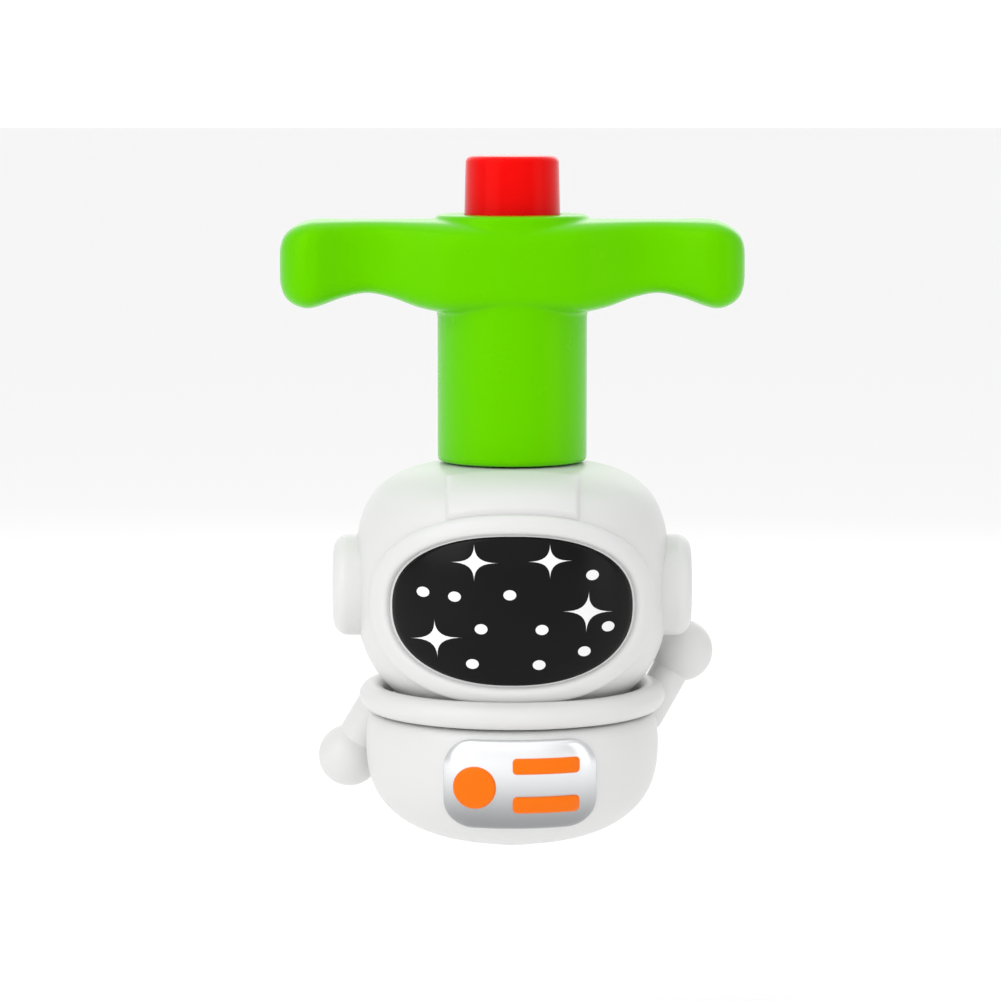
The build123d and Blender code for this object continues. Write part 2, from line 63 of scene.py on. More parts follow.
# ---- shapes shared with the CAD model ----
# a HALF pair is half the width and half the height; UP and DOWN pairs are a half height and a power
HELMET_R, HELMET_Z, CROWN_Z = 23.5, 39.0, 57.95
HELMET_UP, HELMET_DOWN = (19.25, 3.5), (20.2, 2.5)
BODY_R, BODY_Z, BODY_DOWN = 22.0, 16.0, (15.1, 2.6)
BODY_TAPER, BODY_TAPER_RISE = 0.25, 2.9
VISOR_Z, VISOR_POWER = 38.3, 2.3
VISOR_HALF, BEZEL_HALF = (17.9, 11.2), (20.6, 13.9)
CREST_HALF, CREST_RISE = 9.8, 0.8
COLLAR_Z, COLLAR_R, COLLAR_TUBE = 22.8, 21.0, 2.0
PAD_EDGE, PAD_MIDDLE = 0.95, 1.48  # how far the dial and the bars stand out from the body
STEM_R, STEM_Z, BOSS_R = 11.15, 58.2, 11.3
HELMET_SCREW, HELMET_SEAT = (16.6, 50.2), 9.6  # the screw's x and z, and its pocket's floor in y
HANDLE_SCREWS = [(28.2, 87.8, 5.8), (17.4, 88.2, 3.6)]  # x, z, and the pocket's floor in y
SINK_R, SINK_HUB = 2.0, 0.4
HANDLE_POWER = 5.0
HANDLE_STATIONS = [  # x, half depth, top, underside
    (0, 12.2, 94.2, 80.55), (5, 11.8, 94.2, 80.55), (10, 10.6, 94.2, 80.6), (14, 8.7, 94.2, 81.35),
    (18, 7.0, 94.2, 82.75), (21.6, 6.5, 94.2, 83.4), (25.2, 7.4, 94.2, 82.7), (28.6, 9.0, 94.2, 81.5),
    (30.5, 9.0, 94.0, 81.15), (32.5, 8.0, 93.15, 81.8), (33.8, 6.4, 91.95, 83.0), (34.4, 4.6, 90.5, 84.6),
]

# ---- shapes of this script's own ----
SEAM = 0.10
VISOR_RISE, INK_RISE = 0.28, 0.305
VISOR_EDGE, VISOR_BEND, VISOR_DROP = 11.3, 0.6, 0.5  # the glass turns down along its edge
CREST_ROUND, CREST_POWER, CREST_SINK = 0.75, 2.4, 0.12
BEZEL_FOOT, BEZEL_RISE, BEZEL_SINK, BEZEL_POWER = 0.05, 1.1, 0.35, 0.72
VOXEL, SOFTENING = 0.00030, 14  # the handle skin's remeshing, in metres, and its smoothing rounds
# radius, lip, and where the flat end and the cut edge in it begin
BUTTON_MOUTH = (7.32, 93.6, 94.0, 93.8)
STEM_MOUTH = (9.5, 59.5, 58.6, 58.8)
MOUTH_SPARE = 0.22
LIP_SUNK, LIP_GAP = 0.00014, 0.00002  # metres
FLOOR_HALF = 9000


def helmet_radius(z):
    half, power = HELMET_UP if z >= HELMET_Z else HELMET_DOWN
    t = min(abs(z - HELMET_Z) / half, 1.0)
    return HELMET_R * (1 - t ** power) ** (1 / power)


def body_radius(z):
    """The chest's radius under the pads, which leaves out the rounding at the cup's rim."""
    if z > BODY_Z:
        return BODY_R - BODY_TAPER * ((z - BODY_Z) / BODY_TAPER_RISE) ** 2
    half, power = BODY_DOWN
    t = min((BODY_Z - z) / half, 1.0)
    return BODY_R * (1 - t ** power) ** (1 / power)


def on_front(radius_of, x, z, rise):
    """The point over (x, z) on the front of a turned shape, raised along its normal."""
    def at(px, pz):
        r = radius_of(pz)
        return Vector((px, -math.sqrt(max(r * r - px * px, 0.01)), pz))

    step = 0.05
    across = at(x + step, z) - at(x - step, z)
    up = at(x, z + step) - at(x, z - step)
    return at(x, z) + across.cross(up).normalized() * rise


# ---- mesh making ----
def add_mesh(name, points, faces):
    """A smooth-shaded object from points in millimetres."""
    mesh = bpy.data.meshes.new(name)
    mesh.from_pydata([tuple(c * MM for c in p) for p in points], [], faces)
    mesh.validate()
    obj = bpy.data.objects.new(name, mesh)
    bpy.context.scene.collection.objects.link(obj)
    tidy = bmesh.new()
    tidy.from_mesh(mesh)
    bmesh.ops.remove_doubles(tidy, verts=tidy.verts, dist=1e-7)
    bmesh.ops.recalc_face_normals(tidy, faces=tidy.faces)
    tidy.to_mesh(mesh)
    tidy.free()
    for face in mesh.polygons:
        face.use_smooth = True
    return obj


def sheet(rows, wrap_rows=False, wrap_columns=False, first_cap=False, last_cap=False):
    """Points and faces of a grid of rows, with optional fans over the first and last rows."""
    count, width = len(rows), len(rows[0])
    points = [p for row in rows for p in row]
    faces = []
    for i in range(count if wrap_rows else count - 1):
        for j in range(width if wrap_columns else width - 1):
            a, b = i * width + j, i * width + (j + 1) % width
            k = (i + 1) % count
            faces.append((a, b, k * width + (j + 1) % width, k * width + j))
    for capped, i in ((first_cap, 0), (last_cap, count - 1)):
        if capped:
            middle = sum((Vector(p) for p in rows[i]), Vector()) / width
            points.append(middle)
            hub = len(points) - 1
            faces += [(i * width + j, i * width + (j + 1) % width, hub) for j in range(width)]
    return points, faces


def turned(name, profile, segments=256, seam=0.0, **caps):
    """A turned shape from (radius, height) pairs. seam sinks a fine line where y is 0."""
    rows = []
    for r, z in profile:
        row = []
        for j in range(segments):
            angle = 2 * math.pi * j / segments
            line = seam if j % (segments // 2) == 0 else 0.0
            row.append(((r - line) * math.cos(angle), (r - line) * math.sin(angle), z))
        rows.append(row)
    return add_mesh(name, *sheet(rows, wrap_columns=True, **caps))


def arc(centre, radius, start, end, steps):
    """Points round a corner in a profile, with angles in degrees."""
    out = []
    for i in range(steps + 1):
        a = math.radians(start + (end - start) * i / steps)
        out.append((centre[0] + radius * math.cos(a), centre[1] + radius * math.sin(a)))
    return out


def oval_point(half, angle):
    """A point on the rounded oval that the visor and its bezel share."""
    c, s = math.cos(angle), math.sin(angle)
    p = 2 / VISOR_POWER
    return math.copysign(half[0] * abs(c) ** p, c), math.copysign(half[1] * abs(s) ** p, s)


def evaluated(obj):
    """Replaces an object's mesh by what its modifiers make of it."""
    graph = bpy.context.evaluated_depsgraph_get()
    graph.update()
    mesh = bpy.data.meshes.new_from_object(obj.evaluated_get(graph))
    obj.modifiers.clear()
    obj.data = mesh


# ---- materials ----
def painted_shade_ramp(tree, coords, tint, shader, low_z, high_z, share):
    """Paints shade into a metal's colour: evenly darker from high_z down to a share of its colour at low_z.
    """
    split = tree.nodes.new("ShaderNodeSeparateXYZ")
    ramp = tree.nodes.new("ShaderNodeMapRange")
    ramp.interpolation_type = "SMOOTHSTEP"
    ramp.inputs["From Min"].default_value = low_z * MM
    ramp.inputs["From Max"].default_value = high_z * MM
    ramp.inputs["To Min"].default_value = share
    shade = tree.nodes.new("ShaderNodeVectorMath")
    shade.operation = "SCALE"
    tree.links.new(coords.outputs["Object"], split.inputs["Vector"])
    tree.links.new(split.outputs["Z"], ramp.inputs["Value"])
    tree.links.new(tint.outputs[2], shade.inputs["Vector"])
    tree.links.new(ramp.outputs["Result"], shade.inputs["Scale"])
    tree.links.new(shade.outputs["Vector"], shader.inputs["Base Color"])


def noise(tree, coords, scale, detail):
    texture = tree.nodes.new("ShaderNodeTexNoise")
    texture.inputs["Scale"].default_value = scale
    texture.inputs["Detail"].default_value = detail
    tree.links.new(coords.outputs["Object"], texture.inputs["Vector"])
    return texture


def plastic(name, colour, roughness, grain=0.5, variation=0.03, coat=0.0, subsurface=0.0, metallic=0.0,
            specular=0.5, specular_tint=(1, 1, 1), wear=0.0, fade=None):
    """A plastic or metal with a fine grain and slow changes of colour and gloss.

    wear makes the rougher patches rougher still, the same all over. fade is painted shade: the low height,
    the high height and the share of colour left at the bottom, for the painted shade ramp above.
    """
    mat = bpy.data.materials.new(name)
    mat.use_nodes = True
    tree = mat.node_tree
    node, link = tree.nodes, tree.links
    shader = node["Principled BSDF"]
    coords = node.new("ShaderNodeTexCoord")
    slow = noise(tree, coords, 38.0, 3.0)
    fine = noise(tree, coords, 2200.0, 2.0)
    handled = noise(tree, coords, 210.0, 5.0)
    tint = node.new("ShaderNodeMix")
    tint.data_type = "RGBA"
    low = [c * (1 - variation) for c in colour]
    high = [min(c * (1 + variation), 1.0) for c in colour]
    tint.inputs[6].default_value = (*low, 1)
    tint.inputs[7].default_value = (*high, 1)
    link.new(slow.outputs["Fac"], tint.inputs[0])
    link.new(tint.outputs[2], shader.inputs["Base Color"])
    # painted shade: the colour darkens towards the bottom of the piece
    if fade:
        painted_shade_ramp(tree, coords, tint, shader, *fade)
    gloss = node.new("ShaderNodeMapRange")
    gloss.inputs["From Min"].default_value = 0.1
    gloss.inputs["From Max"].default_value = 0.9
    gloss.inputs["To Min"].default_value = roughness * 0.92
    gloss.inputs["To Max"].default_value = roughness * 1.08 + wear
    link.new(handled.outputs["Fac"], gloss.inputs["Value"])
    link.new(gloss.outputs["Result"], shader.inputs["Roughness"])
    bump = node.new("ShaderNodeBump")
    bump.inputs["Strength"].default_value = grain
    bump.inputs["Distance"].default_value = 0.00002
    link.new(fine.outputs["Fac"], bump.inputs["Height"])
    link.new(bump.outputs["Normal"], shader.inputs["Normal"])
    shader.inputs["Metallic"].default_value = metallic
    shader.inputs["Specular IOR Level"].default_value = specular
    shader.inputs["Specular Tint"].default_value = (*specular_tint, 1)
    shader.inputs["Coat Weight"].default_value = coat
    shader.inputs["Coat Roughness"].default_value = 0.08
    shader.inputs["Subsurface Weight"].default_value = subsurface
    shader.inputs["Subsurface Radius"].default_value = (0.0022, 0.0018, 0.0014)
    shader.inputs["Subsurface Scale"].default_value = 1.0
    return mat


GREEN = plastic("green_plastic", (0.11, 0.56, 0.0), 0.25, grain=0.08, specular=0.35, variation=0.02,
                specular_tint=(0.5, 1.0, 0.0), wear=0.02)
RED = plastic("red_plastic", (0.80, 0.002, 0.002), 0.22, grain=0.06, specular=0.4, variation=0.02,
              specular_tint=(1.0, 0.10, 0.08))
WHITE = plastic("white_plastic", (0.69, 0.69, 0.685), 0.36, grain=0.12, subsurface=0.06, variation=0.008)
VISOR = plastic("visor_black", (0.002, 0.002, 0.002), 0.24, grain=0.03, specular=0.15, variation=0.2)
INK = plastic("star_ink", (0.84, 0.84, 0.84), 0.45, grain=0.2, variation=0.01)
# the silver's colour has painted shade, darker towards the bottom of the chest panel
SILVER = plastic("silver_plastic", (0.86, 0.87, 0.89), 0.26, grain=0.05, metallic=0.9, variation=0.03,
                 fade=(6.0, 17.0, 0.36))
ORANGE = plastic("orange_plastic", (0.86, 0.155, 0.004), 0.30, grain=0.08, coat=0.06,
                 specular_tint=(1.0, 0.45, 0.1))
STEEL = plastic("steel", (0.56, 0.56, 0.57), 0.30, grain=0.5, metallic=1.0, variation=0.06)
SPRING = plastic("spring_steel", (0.30, 0.31, 0.34), 0.34, grain=0.5, metallic=1.0, variation=0.1)
NYLON = plastic("nylon", (0.66, 0.645, 0.58), 0.48, grain=0.5, subsurface=0.2, variation=0.03)
RUBBER = plastic("rubber", (0.012, 0.012, 0.012), 0.72, grain=0.9, variation=0.1)
BY_SLOT = {"green_plastic": GREEN, "red_plastic": RED, "white_plastic": WHITE, "visor_black": VISOR,
           "silver_plastic": SILVER, "orange_plastic": ORANGE, "steel": STEEL, "spring_steel": SPRING,
           "nylon": NYLON, "rubber": RUBBER}


def settle(obj, body, slot, *stands_for, material=None):
    """Gives a piece its finish and its body, and hides the CAD nodes it stands for."""
    obj.data.materials.clear()
    obj.data.materials.append(material or BY_SLOT[slot])
    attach(obj, body)
    if stands_for:
        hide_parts(*stands_for)


# every CAD node takes the finish of its own slot, and those that are not replaced keep showing it
for part in frame["record"]["subparts"]:
    obj, finish = nodes[part["node"]], BY_SLOT[part["material_slot"]]
    for material_slot in obj.material_slots:
        material_slot.material = finish
    if not obj.material_slots:
        obj.data.materials.append(finish)

# ---- helmet ----
def helmet_profile():
    """The neck under the collar, the outside up to the flat crown, and the wall of the socket in it."""
    neck = [(16.2, 21.5), (17.5, 21.5), (17.6, 21.7), (17.6, 23.4)]
    socket = [(6.6, CROWN_Z), (6.36, CROWN_Z - 0.2), (6.36, 54.0)]
    start, steps = 23.7, 150
    outside = []
    for i in range(steps + 1):
        z = start + (CROWN_Z - start) * (1 - (1 - i / steps) ** 1.6)
        outside.append((helmet_radius(z), z))
    return neck + outside + socket


def sink(obj, x, z, seat):
    """Sinks a round screw pocket into the back of a skin, from its surface down to the seat."""
    skin = bmesh.new()
    skin.from_mesh(obj.data)
    centre = Vector((x * MM, 0, z * MM))

    def away(point):
        return math.hypot(point.x - centre.x, point.z - centre.z)

    gone = [f for f in skin.faces if f.calc_center_median().y > seat * MM
            and min(away(v.co) for v in f.verts) < SINK_R * MM]
    bmesh.ops.delete(skin, geom=gone, context="FACES")
    edges = [e for e in skin.edges if e.is_boundary
             and all(v.co.y > seat * MM and away(v.co) < (SINK_R + 1.0) * MM for v in e.verts)]
    for wall_r, wall_y in ((SINK_R, None), (SINK_R, seat), (SINK_HUB, seat)):
        grown = bmesh.ops.extrude_edge_only(skin, edges=edges)["geom"]
        for v in [g for g in grown if isinstance(g, bmesh.types.BMVert)]:
            far = away(v.co)
            v.co.x = centre.x + (v.co.x - centre.x) / far * wall_r * MM
            v.co.z = centre.z + (v.co.z - centre.z) / far * wall_r * MM
            if wall_y:
                v.co.y = wall_y * MM
        edges = [g for g in grown if isinstance(g, bmesh.types.BMEdge)]
    bmesh.ops.recalc_face_normals(skin, faces=skin.faces)
    skin.to_mesh(obj.data)
    skin.free()


helmet = turned("helmet", helmet_profile(), segments=384, seam=SEAM)
for side in (-1, 1):
    sink(helmet, side * HELMET_SCREW[0], HELMET_SCREW[1], HELMET_SEAT)
settle(helmet, "top", "white_plastic", "helmet_front_shell", "helmet_back_shell")


def inside_helmet(x, y, z):
    half = (HELMET_UP if z > HELMET_Z else HELMET_DOWN)[0]
    return math.hypot(x, y) < helmet_radius(z) and abs(z - HELMET_Z) < half


def helmet_at(x, angle, rise):
    """The helmet's surface at side position x, with angle going from the front over the crown to the back."""
    direction = Vector((0, -math.cos(angle), math.sin(angle)))
    low, high = 0.0, 30.0
    for _ in range(40):
        reach = (low + high) / 2
        inside = inside_helmet(x, direction.y * reach, HELMET_Z + direction.z * reach)
        low, high = (reach, high) if inside else (low, reach)
    return Vector((x, direction.y * low, HELMET_Z + direction.z * low)) + direction * rise


def crest_band(name, start, end, steps):
    """A raised band between two angles in degrees, rounded over its edges and sunk at its ends."""
    rows = []
    half = 64
    for i in range(steps + 1):
        t = i / steps
        angle = math.radians(start + (end - start) * t)
        fade = min(1.0, 4.5 * min(t + 0.001, 1 - t + 0.001) * steps / 40)
        row = []
        for j in range(-half, half + 1):
            v = j / half
            edge = (1 - abs(v)) * CREST_HALF
            swell = 1 - (1 - min(edge / CREST_ROUND, 1.0)) ** CREST_POWER
            height = CREST_RISE * swell - CREST_SINK
            row.append(helmet_at(CREST_HALF * v, angle, height * fade - 0.1 * (1 - fade)))
        rows.append(row)
    return add_mesh(name, *sheet(rows))


settle(crest_band("crest_front", 31, 57, 80), "top", "white_plastic")
settle(crest_band("crest_back", 123, 195, 160), "top", "white_plastic")

# ---- visor, its printed stars and its bezel ----
def visor_rows():
    """Rings from the visor's middle out to its edge, and a last one pushed back into the helmet."""
    rows = []
    rings, around = 48, 192
    for i in range(1, rings + 1):
        s = i / rings
        edge = VISOR_EDGE * (1 - s)
        rise = VISOR_RISE - VISOR_DROP * max(1 - edge / VISOR_BEND, 0) ** 2
        row = []
        for j in range(around):
            x, dz = oval_point((VISOR_HALF[0] * s, VISOR_HALF[1] * s), 2 * math.pi * j / around)
            row.append(on_front(helmet_radius, x, VISOR_Z + dz, rise))
        rows.append(row)
    last = [Vector(p) + Vector((0, 1.4, 0)) for p in rows[-1]]
    return rows + [last]


settle(add_mesh("visor", *sheet(visor_rows(), wrap_columns=True, first_cap=True)),
       "top", "visor_black", "visor")


def bezel_rows():
    """Cross-sections round the visor, each a rounded bead that stands on the helmet."""
    around, section = 256, 28
    rows = []
    for j in range(around):
        angle = 2 * math.pi * j / around
        inner = oval_point((VISOR_HALF[0] + 0.05, VISOR_HALF[1] + 0.05), angle)
        outer = oval_point(BEZEL_HALF, angle)
        row = []
        for k in range(section):
            a = 2 * math.pi * k / section
            c, s = math.cos(a), math.sin(a)
            across = 0.5 + 0.5 * math.copysign(abs(c) ** BEZEL_POWER, c)
            height = BEZEL_FOOT + (BEZEL_RISE * s ** BEZEL_POWER if s > 0 else BEZEL_SINK * s)
            x = inner[0] + (outer[0] - inner[0]) * across
            z = VISOR_Z + inner[1] + (outer[1] - inner[1]) * across
            row.append(on_front(helmet_radius, x, z, height))
        rows.append(row)
    return rows


settle(add_mesh("visor_bezel", *sheet(bezel_rows(), wrap_rows=True, wrap_columns=True)),
       "top", "white_plastic", "visor_bezel")


def star_outline(x, z, wide, tall, tilt):
    """Four long thin points with sides that curve in to a small middle, tilted by an angle in degrees."""
    points = []
    steps, power = 12, 4.4
    ca, sa = math.cos(math.radians(tilt)), math.sin(math.radians(tilt))
    for k in range(4):
        for i in range(steps):
            a = math.pi / 2 * (i / steps)
            c, s = math.cos(a) ** power, math.sin(a) ** power
            quarter = ((c, s), (-s, c), (-c, -s), (s, -c))[k]
            px, pz = quarter[0] * wide, quarter[1] * tall
            points.append((x + px * ca - pz * sa, z + px * sa + pz * ca))
    return points


def dot_outline(x, z, wide, tall):
    turns = [2 * math.pi * i / 32 for i in range(32)]
    return [(x + wide * math.cos(a), z + tall * math.sin(a)) for a in turns]


# x, z, half width, half height, tilt
STARS = [(-5.5, 45.55, 3.6, 2.8, 0), (5.35, 45.75, 3.4, 2.6, 0), (10.75, 38.2, 3.9, 3.1, -4),
         (-11.0, 34.3, 3.9, 2.9, 5)]
DOTS = [(-12.85, 40.95), (-8.3, 40.55), (-0.4, 40.95), (11.45, 43.5), (-4.5, 35.95), (4.2, 35.85),
        (13.75, 35.8), (10.3, 32.4), (-5.75, 30.75), (3.8, 30.65)]
DOT_HALF = (0.92, 0.74)


def print_mesh():
    """The print as thin fans of ink that follow the visor's curve."""
    points, faces = [], []
    shapes = [((x, z), star_outline(x, z, w, t, a)) for x, z, w, t, a in STARS]
    shapes += [((x, z), dot_outline(x, z, *DOT_HALF)) for x, z in DOTS]
    for (cx, cz), outline in shapes:
        rings = []
        for scale in (0.25, 0.5, 0.75, 1.0):
            rings.append([(cx + (x - cx) * scale, cz + (z - cz) * scale) for x, z in outline])
        start = len(points)
        points.append(on_front(helmet_radius, cx, cz, INK_RISE))
        count = len(outline)
        for r in rings:
            points += [on_front(helmet_radius, x, z, INK_RISE) for x, z in r]
        for j in range(count):
            faces.append((start, start + 1 + j, start + 1 + (j + 1) % count))
        for i in range(len(rings) - 1):
            for j in range(count):
                a, b = start + 1 + i * count + j, start + 1 + i * count + (j + 1) % count
                faces.append((a, a + count, b + count, b))
    return add_mesh("star_print", points, faces)


settle(print_mesh(), "top", "white_plastic", material=INK)

# ---- collar, ear pods ----
def lathe_x(name, profile, z, side, segments=160):
    """A shape turned about a line along X through height z, from (radius, x) pairs."""
    turns = [2 * math.pi * j / segments for j in range(segments)]
    rows = [[(side * x, r * math.cos(a), z + r * math.sin(a)) for a in turns] for r, x in profile]
    return add_mesh(name, *sheet(rows, wrap_columns=True, last_cap=True))


POD_Z, POD_FACE = 39.4, 26.79
pod_profile = [(7.58, 17.0)] + arc((5.28, 24.5), 2.3, 0, 90, 18)
pod_profile += [(r, POD_FACE) for r in (4.6, 3.0, 1.0)]
for side, word in ((-1, "left"), (1, "right")):
    settle(lathe_x(f"{word}_ear_pod", pod_profile, POD_Z, side), "top", "white_plastic", f"{word}_ear_pod")

tube = arc((COLLAR_R, COLLAR_Z), COLLAR_TUBE, -95, 228, 56)
collar_profile = tube + [(17.9, 22.9), (17.7, 21.6), (19.9, 21.5), tube[0]]
settle(turned("collar", collar_profile, segments=320), "top", "white_plastic", "collar_ring")

# ---- chest panel, dial and bars ----
def pillow(name, width, height, corner, x, z, low, high, soft, rows=56):
    """A soft pad on the body with rounded corners, from low at its edge to high in its middle."""
    perimeter = rounded_rectangle(width, height, corner, 144)
    grid = []
    for i in range(1, rows + 1):
        s = i / rows
        s = 1 - (1 - s) ** 1.7
        row = []
        for px, pz in perimeter:
            shrink = (1 - s) * min(width, height) / 2
            rise = low + (high - low) * math.sqrt(1 - (1 - min(shrink / soft, 1.0)) ** 2)
            row.append(on_front(body_radius, x + px * s, z + pz * s, rise))
        grid.append(row)
    skirt = [on_front(body_radius, x + px, z + pz, low - 0.5) for px, pz in perimeter]
    return add_mesh(name, *sheet(grid + [skirt], wrap_columns=True, first_cap=True))


def rounded_rectangle(width, height, corner, count):
    """Evenly spaced points round a rectangle with round corners, centred on the origin."""
    straight = [(width - 2 * corner), (height - 2 * corner)] * 2
    bend = math.pi / 2 * corner
    total = sum(straight) + 4 * bend
    centres = [(width / 2 - corner, height / 2 - corner), (-width / 2 + corner, height / 2 - corner),
               (-width / 2 + corner, -height / 2 + corner), (width / 2 - corner, -height / 2 + corner)]
    points = []

    def on_corner(k, a):
        return centres[k][0] + corner * math.cos(a), centres[k][1] + corner * math.sin(a)

    for i in range(count):
        s = total * i / count
        for k in range(4):
            if s < bend:
                points.append(on_corner(k, math.pi / 2 * k + s / corner))
                break
            s -= bend
            if s < straight[k]:
                a = math.pi / 2 * (k + 1)
                start = on_corner(k, a)
                points.append((start[0] - math.sin(a) * s, start[1] + math.cos(a) * s))
                break
            s -= straight[k]
    return points


settle(pillow("chest_panel", 22.2, 13.4, 4.2, 1.1, 12.7, 0.10, 0.93, 1.5),
       "top", "silver_plastic", "chest_panel")
settle(pillow("chest_dial", 6.0, 6.0, 2.98, -5.3, 12.6, PAD_EDGE, PAD_MIDDLE, 0.5),
       "top", "orange_plastic", "chest_dial")
for number, z in ((1, 15.7), (2, 10.2)):
    settle(pillow(f"chest_bar_{number}", 9.4, 2.3, 0.6, 4.7, z, PAD_EDGE, PAD_MIDDLE, 0.45),
           "top", "orange_plastic", f"chest_bar_{number}")

# ---- handle ----
def station(x):
    """Half depth, top and underside of the handle at x, on a smooth curve through the stations."""
    x = min(abs(x), HANDLE_STATIONS[-1][0])
    table = [(-s[0], *s[1:]) for s in reversed(HANDLE_STATIONS[1:3])] + HANDLE_STATIONS
    index = max(i for i, s in enumerate(table[:-1]) if s[0] <= x)
    a, b = table[index], table[index + 1]
    before = table[max(index - 1, 0)]
    after = table[min(index + 2, len(table) - 1)]
    t = (x - a[0]) / (b[0] - a[0])
    out = []
    for k in (1, 2, 3):
        ma = (b[k] - before[k]) / (b[0] - before[0]) * (b[0] - a[0])
        mb = (after[k] - a[k]) / (after[0] - a[0]) * (b[0] - a[0])
        h = (2 * t ** 3 - 3 * t ** 2 + 1, t ** 3 - 2 * t ** 2 + t,
             -2 * t ** 3 + 3 * t ** 2, t ** 3 - t ** 2)
        out.append(h[0] * a[k] + h[1] * ma + h[2] * b[k] + h[3] * mb)
    return out


def wings():
    """The handle's two arms and its middle, as one closed form."""
    rows = []
    spans = [HANDLE_STATIONS[-1][0] * math.sin(math.radians(90 * i / 120)) for i in range(-120, 121)]
    for x in spans:
        depth, top, low = station(x)
        row = []
        for j in range(96):
            a = 2 * math.pi * j / 96
            c, s = math.cos(a), math.sin(a)
            y = math.copysign(depth * abs(c) ** (2 / HANDLE_POWER), c)
            z = math.copysign((top - low) / 2 * abs(s) ** (2 / HANDLE_POWER), s)
            row.append((x, y, (top + low) / 2 + z))
        rows.append(row)
    return sheet(rows, wrap_columns=True, first_cap=True, last_cap=True)


def handle_skin():
    """Arms, hub, stem and boss ring blended into one skin, open at the button and the stem's mouth."""
    body = add_mesh("handle", *wings())
    stem_profile = [(1.0, STEM_Z), (STEM_R - 0.3, STEM_Z), (STEM_R, STEM_Z + 0.25),
                    (STEM_R, 84.0), (1.0, 84.0)]
    stem = turned("stem", stem_profile, segments=192, first_cap=True, last_cap=True)
    boss_profile = [(1.0, 90.0), (BOSS_R, 90.0), (BOSS_R, 94.7), (BOSS_R - 0.25, 95.0), (1.0, 95.0)]
    boss = turned("boss", boss_profile, segments=192, first_cap=True, last_cap=True)
    merged = bmesh.new()
    for obj in (body, stem, boss):
        merged.from_mesh(obj.data)
    merged.to_mesh(body.data)
    merged.free()
    for obj in (stem, boss):
        bpy.data.objects.remove(obj)
    remesh = body.modifiers.new("blend", "REMESH")
    remesh.mode = "VOXEL"
    remesh.voxel_size = VOXEL
    remesh.use_smooth_shade = True
    soften = body.modifiers.new("soften", "SMOOTH")
    soften.factor = 0.5
    soften.iterations = SOFTENING
    evaluated(body)
    skin = bmesh.new()
    skin.from_mesh(body.data)
    for mouth in (BUTTON_MOUTH, STEM_MOUTH):
        open_mouth(skin, *(size * MM for size in mouth))
    skin.to_mesh(body.data)
    skin.free()
    for side in (-1, 1):
        for x, z, seat in HANDLE_SCREWS:
            sink(body, side * x, z, seat)
    return body


def open_mouth(skin, radius, lip, end_z, edge_z):
    """Opens a round hole in a flat end of the skin, with a wall that runs in to the lip, in metres."""
    def beyond(z, limit):
        return z > limit if end_z > lip else z < limit

    gone = [f for f in skin.faces if beyond(f.calc_center_median().z, end_z)
            and math.hypot(*f.calc_center_median().xy) < radius + MOUTH_SPARE * MM]
    bmesh.ops.delete(skin, geom=gone, context="FACES")
    edges = [e for e in skin.edges if e.is_boundary and beyond(e.verts[0].co.z, edge_z)]
    rim = {v for e in edges for v in e.verts}
    for v in rim:
        flat = v.co.xy.normalized() * radius
        v.co.x, v.co.y = flat.x, flat.y
    walls = bmesh.ops.extrude_edge_only(skin, edges=edges)
    for v in [g for g in walls["geom"] if isinstance(g, bmesh.types.BMVert)]:
        v.co.z = lip


def halves(skin):
    """Splits the skin where y is 0 into a front and a back, each with a fine lip sunk along the joint."""
    made = []
    for word, sign in (("front", -1), ("back", 1)):
        half = skin.copy()
        half.data = skin.data.copy()
        half.name = f"handle_{word}"
        bpy.context.scene.collection.objects.link(half)
        cut = bmesh.new()
        cut.from_mesh(half.data)
        cut.normal_update()
        geom = cut.verts[:] + cut.edges[:] + cut.faces[:]
        bmesh.ops.bisect_plane(cut, geom=geom, plane_co=(0, 0, 0), plane_no=(0, -sign, 0),
                               clear_outer=True)
        cut.normal_update()
        for v in cut.verts:
            if abs(v.co.y) < 1e-6:
                inward = Vector((v.normal.x, 0, v.normal.z))
                v.co -= inward * LIP_SUNK
                v.co.y = sign * LIP_GAP
        cut.to_mesh(half.data)
        cut.free()
        for face in half.data.polygons:
            face.use_smooth = True
        made.append(half)
    bpy.data.objects.remove(skin)
    return made


for half, word in zip(halves(handle_skin()), ("front", "back")):
    settle(half, "launcher", "green_plastic", f"handle_{word}_shell")

# ---- button ----
# a wider foot inside the handle, a side that draws in as it rises, a rounded edge and a flat top
cap = [(7.6, 91.2), (7.22, 91.4), (7.18, 93.0)] + [(7.18 - 0.23 * t, 93.0 + 9.7 * t) for t in (0.3, 0.6, 0.9)]
cap += arc((5.92, 102.64), 1.03, 4, 88, 16) + [(4.6, 103.69), (3.0, 103.7), (1.0, 103.7)]
settle(turned("button_cap", cap, segments=192, last_cap=True), "button", "red_plastic", "button")

# ---- return spring under the button ----
def return_spring(radius=4.8, wire=0.35, turns=7, around=12, steps=60):
    """The spring between the bridge and the button, a coil as tall as the CAD spring's box."""
    low, high = (corner.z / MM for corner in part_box("button_spring"))
    rows = []
    for i in range(turns * steps + 1):
        a = 2 * math.pi * i / steps
        z = low + wire + (high - low - 2 * wire) * i / (turns * steps)
        row = []
        for j in range(around):
            b = 2 * math.pi * j / around
            r = radius + wire * math.cos(b)
            row.append((r * math.cos(a), r * math.sin(a), z + wire * math.sin(b)))
        rows.append(row)
    spring = add_mesh("return_spring", *sheet(rows, wrap_columns=True, first_cap=True, last_cap=True))
    settle(spring, "launcher", "spring_steel", "button_spring")
    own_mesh(spring)


return_spring()

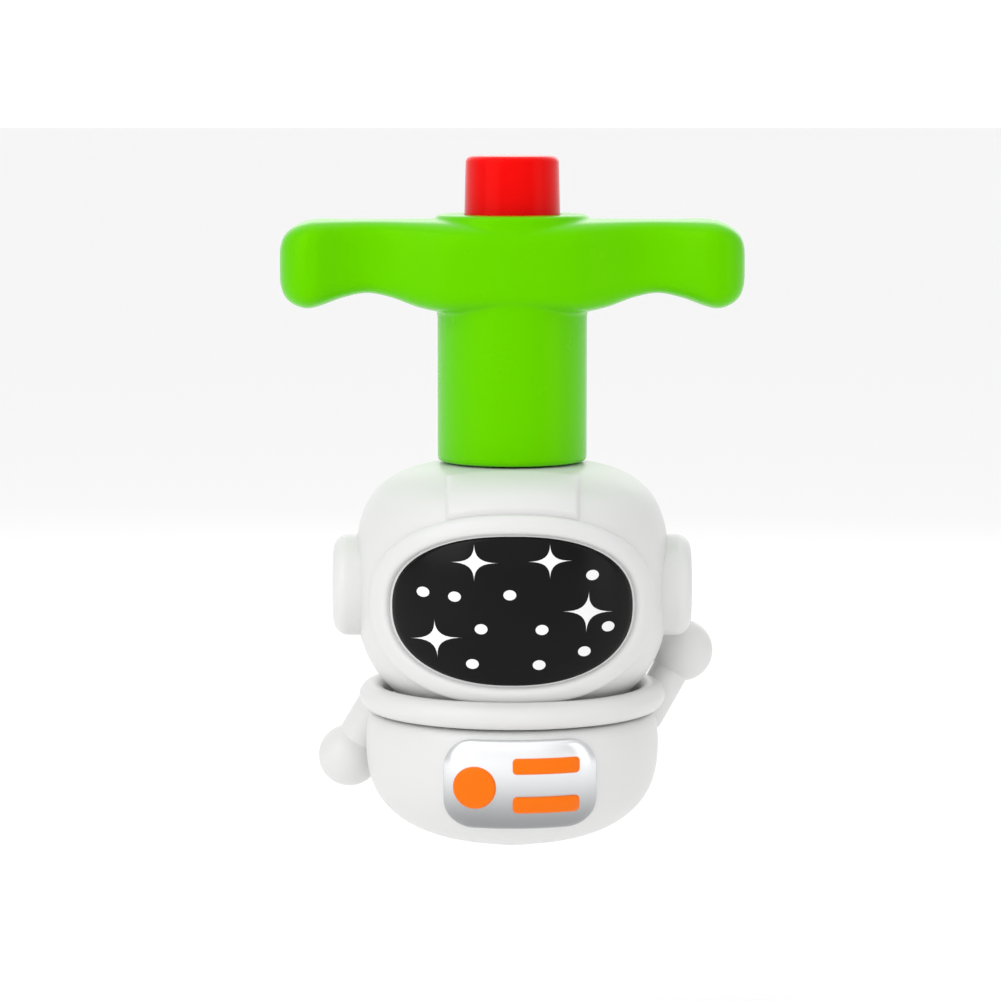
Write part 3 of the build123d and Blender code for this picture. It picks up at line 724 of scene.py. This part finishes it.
# ---- floor, light and camera ----
def floor():
    """A floor where the top lands when it has dropped all the way from the launcher, held in a hand."""
    z = -(travel["top_drop"] + travel["ejector_push"]) / MM
    mat = bpy.data.materials.new("floor")
    mat.use_nodes = True
    tree = mat.node_tree
    shader = tree.nodes["Principled BSDF"]
    patches = tree.nodes.new("ShaderNodeTexNoise")
    patches.inputs["Scale"].default_value = 9.0
    tint = tree.nodes.new("ShaderNodeMix")
    tint.data_type = "RGBA"
    tint.inputs[6].default_value = (0.93, 0.93, 0.93, 1)
    tint.inputs[7].default_value = (0.95, 0.95, 0.95, 1)
    tree.links.new(patches.outputs["Fac"], tint.inputs[0])
    tree.links.new(tint.outputs[2], shader.inputs["Base Color"])
    shader.inputs["Roughness"].default_value = 0.9
    shader.inputs["Specular IOR Level"].default_value = 0.1
    corners = [(x * FLOOR_HALF, y * FLOOR_HALF, z) for x, y in ((-1, -1), (1, -1), (1, 1), (-1, 1))]
    plane = add_mesh("floor", corners, [(0, 1, 2, 3)])
    plane.data.materials.append(mat)


def softbox(name, place, target, size, power):
    lamp = bpy.data.lights.new(name, "AREA")
    lamp.shape = "RECTANGLE"
    lamp.size, lamp.size_y = size[0] * MM, size[1] * MM
    lamp.energy = power
    obj = bpy.data.objects.new(name, lamp)
    obj.location = Vector(place) * MM
    obj.rotation_euler = (Vector(target) * MM - obj.location).to_track_quat("-Z", "Y").to_euler()
    bpy.context.scene.collection.objects.link(obj)


floor()
softbox("key", (-430, -360, 330), (0, 0, 55), (420, 620), 1.3)
softbox("fill", (560, -260, 170), (0, 0, 55), (260, 520), 0.35)
softbox("top", (0, 60, 700), (0, 0, 60), (420, 420), 0.15)
softbox("rear", (80, 600, 300), (0, 0, 60), (500, 300), 0.3)


def studio(ahead, aside):
    """A white room, dimmer to the left and right, so that round shapes darken towards their edges."""
    world = bpy.data.worlds.new("studio")
    world.use_nodes = True
    tree = world.node_tree
    coords = tree.nodes.new("ShaderNodeTexCoord")
    split = tree.nodes.new("ShaderNodeSeparateXYZ")
    side = tree.nodes.new("ShaderNodeMath")
    side.operation = "ABSOLUTE"
    ramp = tree.nodes.new("ShaderNodeMapRange")
    ramp.interpolation_type = "SMOOTHSTEP"
    ramp.inputs["From Min"].default_value = 0.25
    ramp.inputs["From Max"].default_value = 0.90
    ramp.inputs["To Min"].default_value = ahead
    ramp.inputs["To Max"].default_value = aside
    tree.links.new(coords.outputs["Generated"], split.inputs["Vector"])
    tree.links.new(split.outputs["X"], side.inputs[0])
    tree.links.new(side.outputs["Value"], ramp.inputs["Value"])
    tree.links.new(ramp.outputs["Result"], tree.nodes["Background"].inputs["Strength"])
    tree.nodes["Background"].inputs["Color"].default_value = (1, 1, 1, 1)
    bpy.context.scene.world = world


studio(1.15, 0.6)

EYE, AIM, LENS, SENSOR = (-1.75, -590.0, 117.0), (-1.75, 0.0, 52.1), 142.3, 36.0
camera = bpy.data.cameras.new("camera")
camera.lens = LENS
camera.sensor_width = SENSOR
camera.clip_start, camera.clip_end = 0.01, 20.0
viewer = bpy.data.objects.new("camera", camera)
viewer.location = Vector(EYE) * MM
viewer.rotation_euler = (Vector(AIM) * MM - viewer.location).to_track_quat("-Z", "Y").to_euler()
bpy.context.scene.collection.objects.link(viewer)
bpy.context.scene.camera = viewer
bpy.context.scene.view_settings.view_transform = "Standard"
